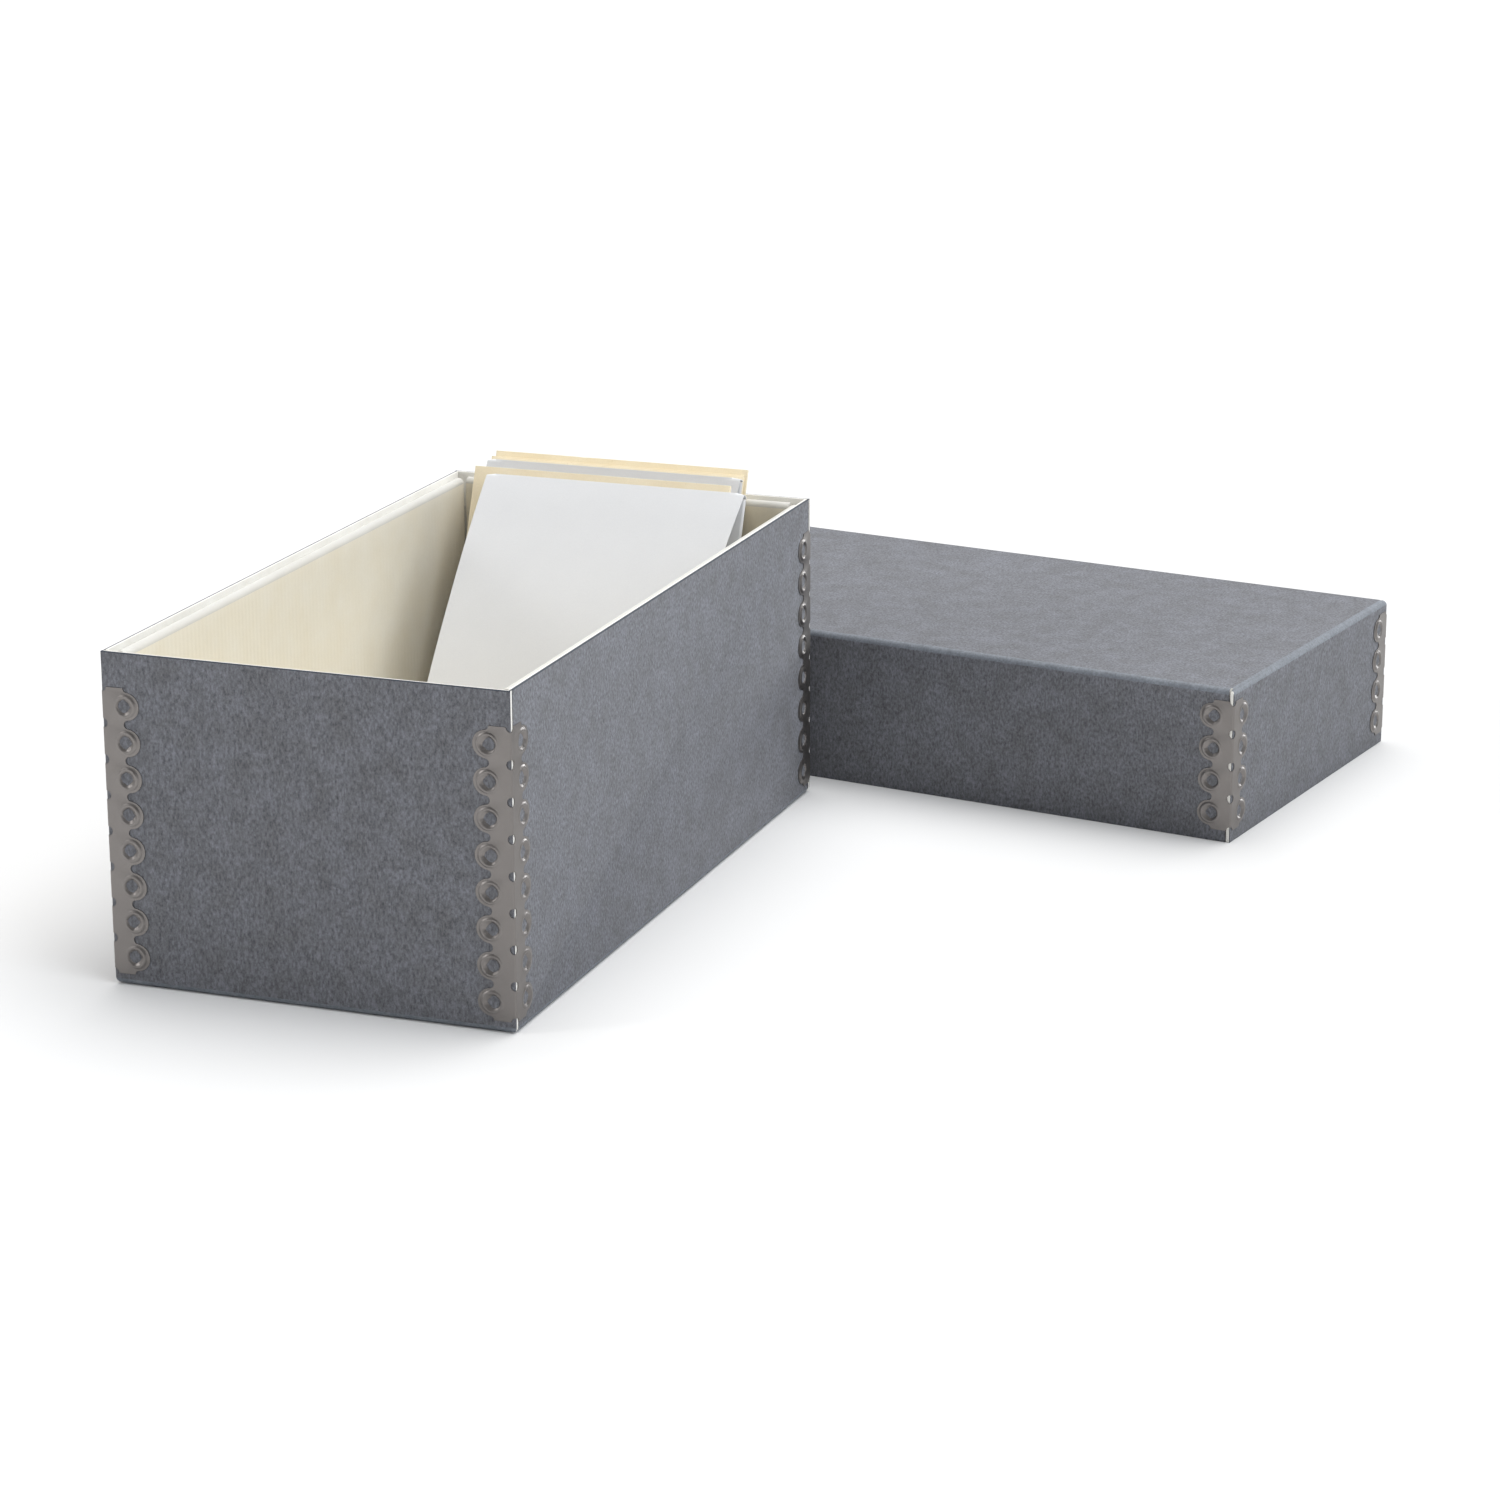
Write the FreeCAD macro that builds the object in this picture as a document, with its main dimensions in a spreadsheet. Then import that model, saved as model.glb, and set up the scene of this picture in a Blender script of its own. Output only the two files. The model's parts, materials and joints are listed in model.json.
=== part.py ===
"""Archival box for 4 x 5 inch glass plates: metal-edge board base and lift-off lid, fold-over liner,
four-flap paper enclosures and stiffener boards.  Millimetres, +Z up, origin at the centre of the
base's underside, +X across the box and -Y towards its front end."""

import FreeCAD
import Part
import Sketcher
import math
import os

SIZES = {
    # base and lid, cut from the same board, scored, folded up and held by metal edges
    "box_width": 149.0,
    "box_length": 292.0,
    "box_height": 118.0,
    "lid_height": 60.0,
    "board": 1.5,
    "crease_radius": 0.9,
    "corner_gap": 0.6,
    "lid_clearance": 2.0,
    # where the lid lies: turned about Z, one long side a gap away from the base's back right
    # corner, and its middle shifted to the right of that corner along the same side
    "lid_turn": 80.6,
    "lid_gap": 18.3,
    "lid_shift": 21.6,
    # metal edges: scalloped steel angle with one pierced lobe per pitch on each leg, as many
    # lobes as fit between the margins
    "metal": 0.3,
    "lobe_pitch": 12.7,
    "edge_margin": 4.0,
    "lobe_radius": 4.85,
    "lobe_offset": 8.8,
    "spine_leg": 7.8,
    "spine_hole": 1.65,
    "pierce_offset": 8.0,
    "pierce_half": 2.5,
    "spur": 0.42,
    "base_edge_start": 4.2,
    "lid_edge_start": 4.6,
    # liner: one cross-shaped blank with doubled walls
    "liner_ply": 2.0,
    "liner_slit": 0.4,
    "liner_drop": 1.3,
    "liner_clearance": 0.2,
    "liner_notch": 2.0,
    # stiffener boards and enclosures, all leaning on the liner's back wall: their width leaves
    # room at both sides of the liner, and the rear board rises above the liner's crest
    "lean": 21.0,
    "sheet_clearance": 0.3,
    "stiffener": 1.6,
    "side_room": 15.6,
    "board_rise": 11.8,
    "stack_step": 1.8,
    "stack_x": -2.6,
    "stack_slip": 0.9,
    "divider_x": 0.7,
    "divider_gap": 17.5,
    "front_pocket_gap": 3.5,
    "paper": 0.35,
    "pocket_overlap": 0.4,
    "pocket_drop": 3.5,
    "pocket_depth": 3.0,
    "rear_pocket_x": -2.5,
    "front_pocket_x": 9.0,
    "flap_short": 3.0,
    "rear_flap_open": 10.0,
    "rear_flap_curl": 7.0,
    "front_flap_open": 27.0,
    "front_flap_curl": 16.0,
}

# shares that keep a rounding inside the material that it rounds
BEND_SHARE = 0.9
WAIST_SHARE = 0.85
CREST_SHARE = 0.48

doc = FreeCAD.newDocument("archival_box")
sheet = doc.addObject("Spreadsheet::Sheet", "Sizes")
for row, (alias, value) in enumerate(SIZES.items(), start=1):
    sheet.set(f"A{row}", alias)
    sheet.set(f"B{row}", str(value))
    sheet.setAlias(f"B{row}", alias)
doc.recompute()


def size(alias):
    """The value of one named cell of the sheet."""
    return float(getattr(sheet, alias))


def cell(text):
    """An expression with every named size replaced by its reference into the sheet."""
    words = sorted(SIZES, key=len, reverse=True)
    out = ""
    word = ""
    for char in text + " ":
        if char.isalnum() or char == "_":
            word += char
            continue
        out += f"Sizes.{word}" if word in words else word
        out += char
        word = ""
    return out.strip()


# ---- helpers: bodies, sketches and features bound to the sheet ----


def new_body(label):
    """A PartDesign body whose label names its node."""
    body = doc.addObject("PartDesign::Body", label)
    body.Label = label
    return body


def origin_plane(body, role):
    """One of the body's own three origin planes."""
    return next(item for item in body.Origin.OriginFeatures if item.Role == role)


def new_sketch(body, name, role, lift="0"):
    """An empty sketch on an origin plane, lifted along the plane's normal."""
    sketch = body.newObject("Sketcher::SketchObject", f"{body.Label}_{name}")
    sketch.AttachmentSupport = [(origin_plane(body, role), "")]
    sketch.MapMode = "FlatFace"
    sketch.setExpression("AttachmentOffset.Base.z", cell(lift))
    return sketch


def bind(sketch, kind, geometry, point, expression):
    """Hold one point of the sketch at a signed distance from the sketch's origin."""
    index = sketch.addConstraint(Sketcher.Constraint(kind, -1, 1, geometry, point, 1.0))
    sketch.setExpression(f"Constraints[{index}]", cell(expression))


def add_rectangle(sketch, left, right, low, high):
    """A rectangle whose four sides are bound to expressions."""
    corners = [(0, 0), (1, 0), (1, 1), (0, 1)]
    points = [FreeCAD.Vector(x, y, 0) for x, y in corners]
    first = sketch.GeometryCount
    for index in range(4):
        sketch.addGeometry(Part.LineSegment(points[index], points[(index + 1) % 4]), False)
    for index in range(4):
        following = first + (index + 1) % 4
        sketch.addConstraint(Sketcher.Constraint("Coincident", first + index, 2, following, 1))
    for index, kind in enumerate(["Horizontal", "Vertical", "Horizontal", "Vertical"]):
        sketch.addConstraint(Sketcher.Constraint(kind, first + index))
    bind(sketch, "DistanceX", first, 1, left)
    bind(sketch, "DistanceY", first, 1, low)
    bind(sketch, "DistanceX", first + 2, 1, right)
    bind(sketch, "DistanceY", first + 2, 1, high)


def add_circle(sketch, x, y, radius):
    """A circle whose centre and radius are bound to expressions."""
    index = sketch.addGeometry(Part.Circle(FreeCAD.Vector(1, 1, 0), FreeCAD.Vector(0, 0, 1), 1), False)
    ring = sketch.addConstraint(Sketcher.Constraint("Radius", index, 1.0))
    sketch.setExpression(f"Constraints[{ring}]", cell(radius))
    bind(sketch, "DistanceX", index, 3, x)
    bind(sketch, "DistanceY", index, 3, y)


def add_diamond(sketch, x, y, half):
    """A square standing on one corner, its corners at half from its centre."""
    steps = [(1, 0), (0, 1), (-1, 0), (0, -1)]
    points = [FreeCAD.Vector(5 + dx, 5 + dy, 0) for dx, dy in steps]
    first = sketch.GeometryCount
    for index in range(4):
        sketch.addGeometry(Part.LineSegment(points[index], points[(index + 1) % 4]), False)
    for index in range(4):
        following = first + (index + 1) % 4
        sketch.addConstraint(Sketcher.Constraint("Coincident", first + index, 2, following, 1))
    for index, (dx, dy) in enumerate(steps):
        bind(sketch, "DistanceX", first + index, 1, f"{x} + {dx} * ({half})")
        bind(sketch, "DistanceY", first + index, 1, f"{y} + {dy} * ({half})")


def pad(body, sketch, length, backwards=False):
    """Pad a sketch along its plane's normal."""
    feature = body.newObject("PartDesign::Pad", f"{sketch.Name}_pad")
    feature.Profile = sketch
    feature.setExpression("Length", cell(length))
    feature.Reversed = backwards
    doc.recompute()
    return feature


def pocket(body, sketch, length, backwards=False, both_ways=False):
    """Cut a sketch out of the body and make sure that the cut took material away."""
    before = body.Shape.Volume
    feature = body.newObject("PartDesign::Pocket", f"{sketch.Name}_pocket")
    feature.Profile = sketch
    feature.setExpression("Length", cell(length))
    feature.Reversed = backwards
    feature.Midplane = both_ways
    doc.recompute()
    if feature.Shape.Volume >= before - 1e-6:
        raise RuntimeError(f"{feature.Name} cuts nothing")
    return feature


def repeat_up(body, features, along, pitch_text, count_text):
    """Repeat features at one pitch along the upright axis of a sketch."""
    pattern = body.newObject("PartDesign::LinearPattern", f"{features[0].Name}_row")
    pattern.Originals = features
    pattern.Direction = (along, ["V_Axis"])
    pattern.setExpression("Occurrences", cell(count_text))
    pattern.setExpression("Length", cell(f"({pitch_text}) * ({count_text} - 1)"))
    body.Tip = pattern
    doc.recompute()
    return pattern


def straight_edges(feature, test):
    """Names of the feature's straight edges whose two ends both pass the test."""
    names = []
    for index, edge in enumerate(feature.Shape.Edges, start=1):
        if len(edge.Vertexes) != 2 or edge.Curve.TypeId != "Part::GeomLine":
            continue
        if all(test(vertex.Point) for vertex in edge.Vertexes):
            names.append(f"Edge{index}")
    return names


def fillet(body, base, names, radius):
    """Round named edges of a feature."""
    feature = body.newObject("PartDesign::Fillet", f"{base.Name}_fillet{len(body.Group)}")
    feature.Base = (base, names)
    feature.setExpression("Radius", cell(radius))
    doc.recompute()
    return feature


def near(first, second):
    """True where two lengths are the same within a hundredth."""
    return abs(first - second) < 0.01


# ---- folded trays: the base stands open side up, the lid open side down ----

FOLD = "(board + crease_radius)"


def make_tray(label, width, length, height, opens_up):
    """A floor or top panel with four folded walls and an open slit at each corner."""
    body = new_body(label)
    outline = new_sketch(body, "outline", "XY_Plane")
    add_rectangle(outline, f"-({width}) / 2", f"({width}) / 2", f"-({length}) / 2", f"({length}) / 2")
    block = pad(body, outline, height)
    tall = block.Shape.BoundBox.ZMax
    folded = 0.0 if opens_up else tall
    folds = straight_edges(block, lambda point: near(point.z, folded))
    fillet(body, block, folds, FOLD)

    cavity = new_sketch(body, "cavity", "XY_Plane", height if opens_up else "0")
    half_x = f"(({width}) / 2 - board)"
    half_y = f"(({length}) / 2 - board)"
    add_rectangle(cavity, f"-{half_x}", half_x, f"-{half_y}", half_y)
    hollow = pocket(body, cavity, f"({height}) - board", backwards=not opens_up)
    inside = size("board") if opens_up else tall - size("board")
    creases = straight_edges(hollow, lambda point: near(point.z, inside))
    fillet(body, hollow, creases, "crease_radius")

    # the end walls run the full width; each side wall stops short of them by the corner gap
    slits = new_sketch(body, "slits", "XY_Plane")
    reach_in = f"(({width}) / 2 - {FOLD})"
    reach_out = f"(({width}) / 2 + board)"
    for across in (-1, 1):
        for along in (-1, 1):
            sides = (f"{across} * {reach_in}", f"{across} * {reach_out}")
            ends = (f"{along} * {half_y}", f"{along} * ({half_y} - corner_gap)")
            add_rectangle(slits, *sides, *ends)
    pocket(body, slits, f"2 * ({height})", both_ways=True, backwards=True)
    return body


base_tray = make_tray("base_tray", "box_width", "box_length", "box_height", True)
LID_WIDTH = "box_width + 2 * (lid_clearance + board)"
LID_LENGTH = "box_length + 2 * (lid_clearance + board)"
lid_tray = make_tray("lid_tray", LID_WIDTH, LID_LENGTH, "lid_height", False)
lid_spread = 2 * (size("lid_clearance") + size("board"))
lid_width = size("box_width") + lid_spread
lid_length = size("box_length") + lid_spread
lid_turned = FreeCAD.Rotation(FreeCAD.Vector(0, 0, 1), size("lid_turn"))
base_corner = FreeCAD.Vector(size("box_width") / 2, size("box_length") / 2, 0)
from_corner = FreeCAD.Vector(size("lid_gap") + lid_width / 2, -size("lid_shift"), 0)
lid_place = FreeCAD.Placement(base_corner + lid_turned.multVec(from_corner), lid_turned)
lid_tray.Placement = lid_place


# ---- metal edges: modelled on the corner at their own origin, legs along +X and +Y ----


def make_metal_edge(label, height):
    """A scalloped steel angle with a pierced, clinched lobe at every pitch on both legs."""
    body = new_body(label)
    lobes = f"floor(({height} - 2 * edge_margin) / lobe_pitch)"
    tall = f"{lobes} * lobe_pitch"
    for name, right, high in (("front_spine", "spine_leg", "0"), ("side_spine", "0", "spine_leg")):
        strip = new_sketch(body, name, "XY_Plane")
        add_rectangle(strip, "-metal", right, "-metal", high)
        pad(body, strip, tall)

    def on_bend(point):
        return near(point.x, -size("metal")) and near(point.y, -size("metal"))

    fillet(body, body.Tip, straight_edges(body.Tip, on_bend), f"{BEND_SHARE} * metal")

    discs = []
    for name, role in (("front_lobe", "XZ_Plane"), ("side_lobe", "YZ_Plane")):
        outline = new_sketch(body, name, role)
        add_circle(outline, "lobe_offset", "lobe_pitch / 2", "lobe_radius")
        discs.append(pad(body, outline, "metal", backwards=role == "YZ_Plane"))
    upright = discs[0].Profile[0]
    scalloped = repeat_up(body, discs, upright, "lobe_pitch", lobes)

    # each waist between two lobes is a small arc that runs into both lobes
    leg = size("spine_leg")
    top = scalloped.Shape.BoundBox.ZMax

    def in_waist(point):
        inner = 0.01 < point.z < top - 0.01
        return inner and (near(point.x, leg) or near(point.y, leg))

    waists = straight_edges(scalloped, in_waist)
    waists = [name for name in waists if near(scalloped.Shape.getElement(name).Length, size("metal"))]
    overhang = "(lobe_offset - spine_leg)"
    spare = f"(lobe_pitch / 2)^2 + {overhang}^2 - lobe_radius^2"
    fillet(body, scalloped, waists, f"{WAIST_SHARE} * ({spare}) / (2 * (lobe_radius + {overhang}))")

    # four spurs per lobe, pressed through the board and turned square to the leg
    spurs = []
    pierced = []
    for name, role in (("front_pierce", "XZ_Plane"), ("side_pierce", "YZ_Plane")):
        rim = new_sketch(body, f"{name}_rim", role)
        add_diamond(rim, "pierce_offset", "lobe_pitch / 2", "pierce_half + spur")
        add_diamond(rim, "pierce_offset", "lobe_pitch / 2", "pierce_half")
        spurs.append(pad(body, rim, "board", backwards=role == "XZ_Plane"))
    repeat_up(body, spurs, upright, "lobe_pitch", lobes)
    for name, role in (("front_pierce", "XZ_Plane"), ("side_pierce", "YZ_Plane")):
        opening = new_sketch(body, name, role)
        add_diamond(opening, "pierce_offset", "lobe_pitch / 2", "pierce_half")
        pierced.append(pocket(body, opening, "4 * metal", both_ways=True))
    repeat_up(body, pierced, upright, "lobe_pitch", lobes)

    # a round hole on the bend between lobes, and half a hole at each end
    ball = body.newObject("PartDesign::SubtractiveSphere", f"{label}_spine_hole")
    ball.setExpression("Radius", cell("spine_hole"))
    doc.recompute()
    repeat_up(body, [ball], upright, "lobe_pitch", f"{lobes} + 1")
    return body


# each corner's side of the box across and along it, and the metal edge's turn there
CORNERS = {
    "front_left": (-1, -1, 0),
    "front_right": (1, -1, 90),
    "back_right": (1, 1, 180),
    "back_left": (-1, 1, 270),
}


def place_at_corner(body, corner_name, width, length, start, parent):
    """Stand a metal edge on one corner of a tray and move it with that tray."""
    across, along, turn = CORNERS[corner_name]
    corner = FreeCAD.Vector(across * width / 2, along * length / 2, start)
    local = FreeCAD.Placement(corner, FreeCAD.Rotation(FreeCAD.Vector(0, 0, 1), turn))
    body.Placement = parent.multiply(local)


for corner_name in CORNERS:
    edge = make_metal_edge(f"base_metal_edge_{corner_name}", "box_height")
    start = size("base_edge_start")
    place_at_corner(edge, corner_name, size("box_width"), size("box_length"), start, FreeCAD.Placement())
for corner_name in CORNERS:
    edge = make_metal_edge(f"lid_metal_edge_{corner_name}", "lid_height")
    start = size("lid_edge_start")
    place_at_corner(edge, corner_name, lid_width, lid_length, start, lid_place)


# ---- liner: floor panel and four fold-over walls, with the corners notched out ----

liner = new_body("liner")
OUTER_X = "(box_width / 2 - board - liner_clearance)"
OUTER_Y = "(box_length / 2 - board - liner_clearance)"
WALL = "(2 * liner_ply + liner_slit)"
NOTCH = f"({WALL} + liner_notch)"
SLIT_X = f"({OUTER_X} - {WALL} - 0.5 * liner_notch)"
SLIT_Y = f"({OUTER_Y} - {WALL} - 0.5 * liner_notch)"
LINER_FLOOR = "(board + liner_clearance)"
CREST = "(box_height - liner_drop)"

# the doubled walls start above the tray's rounded crease; only the floor panel lies lower
walls = new_sketch(liner, "walls", "XY_Plane", f"{LINER_FLOOR} + crease_radius")
slits = new_sketch(liner, "slits", "XY_Plane", LINER_FLOOR)
for side in (-1, 1):
    end_wall = (f"{side} * {OUTER_Y}", f"{side} * ({OUTER_Y} - {WALL})")
    end_slit = (f"{side} * ({OUTER_Y} - liner_ply)", f"{side} * ({OUTER_Y} - liner_ply - liner_slit)")
    side_wall = (f"{side} * {OUTER_X}", f"{side} * ({OUTER_X} - {WALL})")
    side_slit = (f"{side} * ({OUTER_X} - liner_ply)", f"{side} * ({OUTER_X} - liner_ply - liner_slit)")
    add_rectangle(walls, f"-({OUTER_X} - {NOTCH})", f"{OUTER_X} - {NOTCH}", *end_wall)
    add_rectangle(walls, *side_wall, f"-({OUTER_Y} - {NOTCH})", f"{OUTER_Y} - {NOTCH}")
    add_rectangle(slits, f"-{SLIT_X}", SLIT_X, *end_slit)
    add_rectangle(slits, *side_slit, f"-{SLIT_Y}", SLIT_Y)
four_walls = pad(liner, walls, f"{CREST} - {LINER_FLOOR} - crease_radius")
crest_height = size("box_height") - size("liner_drop")
half_wide = size("box_width") / 2 - size("board") - size("liner_clearance")
half_long = size("box_length") / 2 - size("board") - size("liner_clearance")
wall_thick = 2 * size("liner_ply") + size("liner_slit")


def on_crest(point):
    """True at the ends of a wall's two top edges."""
    return near(point.z, crest_height)


crests = [
    name
    for name in straight_edges(four_walls, on_crest)
    if four_walls.Shape.getElement(name).Length > 2 * wall_thick
]
fillet(liner, four_walls, crests, f"{CREST_SHARE} * {WALL}")
pocket(liner, slits, f"{CREST} - {LINER_FLOOR} - liner_ply", backwards=True)
panel = new_sketch(liner, "floor", "XY_Plane", LINER_FLOOR)
INNER_X = f"({OUTER_X} - liner_ply - liner_slit)"
INNER_Y = f"({OUTER_Y} - liner_ply - liner_slit)"
add_rectangle(panel, f"-{INNER_X}", INNER_X, f"-{INNER_Y}", INNER_Y)
pad(liner, panel, "liner_ply")


# ---- leaning sheets: every one stands on the liner's floor at the same lean, so each lifts out
# ---- along its own plane without touching the next ----

FLOOR_TOP = f"({LINER_FLOOR} + liner_ply + sheet_clearance)"
SHEET_WIDTH = f"(2 * ({OUTER_X} - {WALL}) - 2 * side_room)"
SHEET_HEIGHT = f"(({CREST} - {FLOOR_TOP}) / cos(lean * 1deg) + board_rise)"
POCKET_WIDTH = f"({SHEET_WIDTH} + pocket_overlap)"
POCKET_HEIGHT = f"({SHEET_HEIGHT} - pocket_drop)"

floor_top = size("board") + size("liner_clearance") + size("liner_ply") + size("sheet_clearance")
lean = math.radians(size("lean"))
back_wall = half_long - wall_thick
# the rear board's back face passes just in front of the top of the liner's back wall
rear_rise = crest_height - floor_top
rear_foot = back_wall - rear_rise * math.tan(lean) - size("sheet_clearance") / math.cos(lean)


def stand(body, x, ahead):
    """Lean a sheet with its back face a distance ahead of the rear board's back face."""
    foot = FreeCAD.Vector(x, rear_foot - ahead / math.cos(lean), floor_top)
    body.Placement = FreeCAD.Placement(foot, FreeCAD.Rotation(FreeCAD.Vector(1, 0, 0), -size("lean")))


def make_stiffener(label, height):
    """A plain board, its back face on the body's XZ plane and its foot on the X axis."""
    body = new_body(label)
    outline = new_sketch(body, "outline", "XZ_Plane")
    add_rectangle(outline, f"-{SHEET_WIDTH} / 2", f"{SHEET_WIDTH} / 2", "0", height)
    pad(body, outline, "stiffener")
    return body


def make_pocket(label):
    """The folded part of an enclosure: back panel, side and bottom gussets and front flaps."""
    body = new_body(label)
    outline = new_sketch(body, "outline", "XZ_Plane")
    add_rectangle(outline, f"-{POCKET_WIDTH} / 2", f"{POCKET_WIDTH} / 2", "0", POCKET_HEIGHT)
    pad(body, outline, "pocket_depth")
    inside = new_sketch(body, "inside", "XY_Plane", POCKET_HEIGHT)
    half = f"({POCKET_WIDTH} / 2 - paper)"
    add_rectangle(inside, f"-{half}", half, "-(pocket_depth - paper)", "-paper")
    pocket(body, inside, f"{POCKET_HEIGHT} - paper")
    return body


def make_flap(label, curl):
    """The top flap: a gusset at the fold and a leaf that springs forward in a shallow arc.
    The fold is the body's X axis; the gusset runs along -Y and the leaf starts along -Z."""
    body = new_body(label)
    leaf = new_sketch(body, "leaf", "XY_Plane")
    front = "-(pocket_depth + paper)"
    add_rectangle(leaf, f"-{POCKET_WIDTH} / 2", f"{POCKET_WIDTH} / 2", front, "-pocket_depth")
    points = [FreeCAD.Vector(x, 50, 0) for x in (-1, 1)]
    axis = leaf.addGeometry(Part.LineSegment(*points), True)
    bend = f"({POCKET_HEIGHT} - flap_short) / ({curl} * pi / 180) - pocket_depth"
    bind(leaf, "DistanceY", axis, 1, bend)
    bind(leaf, "DistanceX", axis, 1, f"-{POCKET_WIDTH} / 2")
    bind(leaf, "DistanceX", axis, 2, f"{POCKET_WIDTH} / 2")
    leaf.addConstraint(Sketcher.Constraint("Horizontal", axis))
    arc = body.newObject("PartDesign::Revolution", f"{label}_arc")
    arc.Profile = leaf
    arc.ReferenceAxis = (leaf, ["Axis0"])
    arc.setExpression("Angle", cell(curl))
    doc.recompute()
    if arc.Shape.BoundBox.ZMin > -1:
        arc.Reversed = True
        doc.recompute()
    gusset = new_sketch(body, "gusset", "XY_Plane")
    add_rectangle(gusset, f"-{POCKET_WIDTH} / 2", f"{POCKET_WIDTH} / 2", front, "0")
    pad(body, gusset, "paper")
    return body


def hang(flap, pocket_body, opened):
    """Put a flap's fold just above the top of its pocket's back panel, opened by an angle."""
    fold = FreeCAD.Vector(0, 0, pocket_tall + size("sheet_clearance"))
    turn = FreeCAD.Rotation(FreeCAD.Vector(1, 0, 0), -opened)
    flap.Placement = pocket_body.Placement.multiply(FreeCAD.Placement(fold, turn))


board_pitch = size("stiffener") + size("sheet_clearance")
rear_stiffener = make_stiffener("rear_stiffener_board", SHEET_HEIGHT)
stand(rear_stiffener, size("stack_x"), 0)
middle_stiffener = make_stiffener("middle_stiffener_board", f"{SHEET_HEIGHT} - stack_step")
stand(middle_stiffener, size("stack_x") - size("stack_slip"), board_pitch)
front_stiffener = make_stiffener("front_stiffener_board", f"{SHEET_HEIGHT} - stack_step")
stand(front_stiffener, size("stack_x"), 2 * board_pitch)

rear_pocket = make_pocket("rear_enclosure")
pocket_tall = rear_pocket.Shape.BoundBox.ZMax
rear_pocket_back = 3 * board_pitch
stand(rear_pocket, size("rear_pocket_x"), rear_pocket_back)
rear_flap = make_flap("rear_enclosure_flap", "rear_flap_curl")
hang(rear_flap, rear_pocket, size("rear_flap_open"))

divider = make_stiffener("divider_board", SHEET_HEIGHT)
divider_back = rear_pocket_back + size("pocket_depth") + size("divider_gap")
stand(divider, size("divider_x"), divider_back)

front_pocket = make_pocket("front_enclosure")
stand(front_pocket, size("front_pocket_x"), divider_back + size("stiffener") + size("front_pocket_gap"))
front_flap = make_flap("front_enclosure_flap", "front_flap_curl")
hang(front_flap, front_pocket, size("front_flap_open"))


# ---- check every object, then write one file per node ----

doc.recompute()
for item in doc.Objects:
    if "Invalid" in item.State or "Error" in item.State:
        raise RuntimeError(f"{item.Label} failed: {item.State}")
nodes = doc.findObjects("PartDesign::Body")
for node in nodes:
    if node.Shape.isNull() or not node.Shape.isValid() or len(node.Shape.Solids) != 1:
        raise RuntimeError(f"{node.Label} isn't one valid solid")
os.makedirs("parts", exist_ok=True)
for node in nodes:
    node.Shape.exportStep(f"parts/{node.Label}.step")
    box = node.Shape.BoundBox
    print(f"{node.Label}: volume {node.Shape.Volume:.1f}, z {box.ZMin:.2f} to {box.ZMax:.2f}")
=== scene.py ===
"""The archival box's looks: board trays with metal edges, fluted liner, boards and paper enclosures.

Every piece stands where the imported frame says, in metres, and rides on its CAD body.
"""

from __future__ import annotations

import json
import logging
import math
from dataclasses import dataclass, field
from enum import Enum, IntEnum
from typing import Callable, Sequence

import bmesh
import bpy
from mathutils import Matrix, Vector, noise


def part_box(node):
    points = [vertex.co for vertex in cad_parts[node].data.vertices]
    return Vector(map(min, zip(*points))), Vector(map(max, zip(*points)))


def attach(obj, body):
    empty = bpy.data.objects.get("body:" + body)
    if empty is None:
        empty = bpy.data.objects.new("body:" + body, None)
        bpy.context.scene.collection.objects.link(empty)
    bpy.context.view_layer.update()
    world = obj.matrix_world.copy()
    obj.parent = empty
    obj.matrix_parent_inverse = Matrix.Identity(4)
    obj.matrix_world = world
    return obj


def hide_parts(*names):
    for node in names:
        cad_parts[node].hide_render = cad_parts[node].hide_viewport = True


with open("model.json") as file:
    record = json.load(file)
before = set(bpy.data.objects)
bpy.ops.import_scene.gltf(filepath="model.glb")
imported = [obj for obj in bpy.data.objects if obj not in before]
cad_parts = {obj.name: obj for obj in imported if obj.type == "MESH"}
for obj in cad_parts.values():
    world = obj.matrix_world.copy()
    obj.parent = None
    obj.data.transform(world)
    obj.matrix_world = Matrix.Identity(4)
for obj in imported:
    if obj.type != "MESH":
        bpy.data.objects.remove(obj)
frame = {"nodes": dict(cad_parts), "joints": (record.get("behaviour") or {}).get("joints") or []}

LOG = logging.getLogger("archival_box")
MM = 0.001
BOARD_MM = 1.5
LID_CLEARANCE_MM = 2.0
CUT_SLACK = 1e-7
BURR_SEED = 7
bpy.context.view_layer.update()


# ---------------------------------------------------------------- materials


def linear(colour: str) -> tuple[float, float, float, float]:
    """Turn an sRGB hex colour into the linear colour that a shader socket takes.

    Args:
        colour: Six hex digits with a leading hash.

    Returns:
        Red, green, blue and an alpha of one, in linear light.
    """
    channels = [int(colour[i : i + 2], 16) / 255 for i in (1, 3, 5)]
    curved = [c / 12.92 if c <= 0.04045 else ((c + 0.055) / 1.055) ** 2.4 for c in channels]
    return (*curved, 1.0)


def add_node(
    tree: bpy.types.NodeTree,
    kind: str,
    settings: dict | None = None,
    links: dict | None = None,
) -> bpy.types.Node:
    """Add a node, set its properties and sockets, and link its inputs.

    Args:
        tree: The node tree that gets the node.
        kind: The node's type name.
        settings: Values by property name, or by the name or number of an input socket.
        links: Output sockets by the name or number of the input they feed.

    Returns:
        The new node.
    """
    node = tree.nodes.new(kind)
    for key, value in (settings or {}).items():
        if isinstance(key, int) or key in node.inputs:
            node.inputs[key].default_value = value
        else:
            setattr(node, key, value)
    for key, source in (links or {}).items():
        tree.links.new(source, node.inputs[key])
    return node


def per_mm(millimetres: float) -> float:
    """The noise scale whose features are that many millimetres wide."""
    return 1.0 / (millimetres * MM)


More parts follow.
